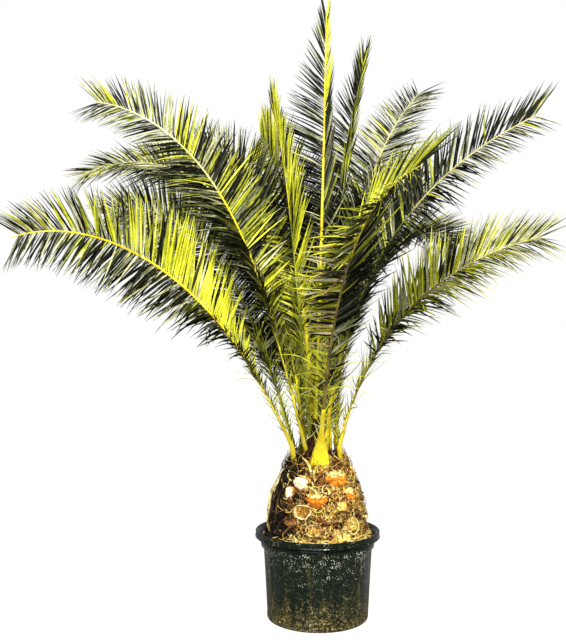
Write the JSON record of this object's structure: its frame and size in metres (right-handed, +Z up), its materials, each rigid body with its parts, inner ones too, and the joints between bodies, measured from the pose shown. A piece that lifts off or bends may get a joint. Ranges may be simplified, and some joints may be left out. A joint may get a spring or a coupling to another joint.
{
  "type": "potted date palm",
  "caption": "Young date palm with a stout pineapple-shaped trunk and long arching feather fronds in a round black plastic nursery pot.",
  "frame": {"origin": "centre of the flat underside of the pot, at floor level", "axes": "+Z up; -Y towards the side with the long frond that leans out over the pot's rim; +X to the right seen from that side"},
  "size_m": [1.8489, 2.2785, 2.3248],
  "materials": {
    "pot": "satin black plastic, dusty and stained",
    "soil": "damp bark compost with straw-coloured litter",
    "trunk": "fibrous cut leaf bases, matt",
    "fronds": "waxy yellow-green leaf"
  },
  "bodies": {
    "root": {"pot": "pot", "soil": "soil", "trunk": "trunk", "frond_back_left_low_stalk": "fronds", "frond_back_left_low_tip": "fronds", "frond_back_left_stalk": "fronds", "frond_back_left_tip": "fronds", "frond_back_middle_stalk": "fronds", "frond_back_middle_tip": "fronds", "frond_back_right_low_stalk": "fronds", "frond_back_right_low_tip": "fronds", "frond_back_right_stalk": "fronds", "frond_back_right_tip": "fronds", "frond_back_stalk": "fronds", "frond_back_tip": "fronds", "frond_front_left": "fronds", "frond_front_stalk": "fronds", "frond_front_tip": "fronds", "frond_left_back_stalk": "fronds", "frond_left_back_tip": "fronds", "frond_left_behind_stalk": "fronds", "frond_left_behind_tip": "fronds", "frond_left_high_stalk": "fronds", "frond_left_high_tip": "fronds", "frond_left_low_stalk": "fronds", "frond_left_low_tip": "fronds", "frond_right_back_stalk": "fronds", "frond_right_back_tip": "fronds", "frond_right_behind_stalk": "fronds", "frond_right_behind_tip": "fronds", "frond_right_high_stalk": "fronds", "frond_right_high_tip": "fronds", "frond_right_low_stalk": "fronds", "frond_right_low_tip": "fronds", "frond_right_spear": "fronds", "frond_spear": "fronds"}
  },
  "joints": []
}
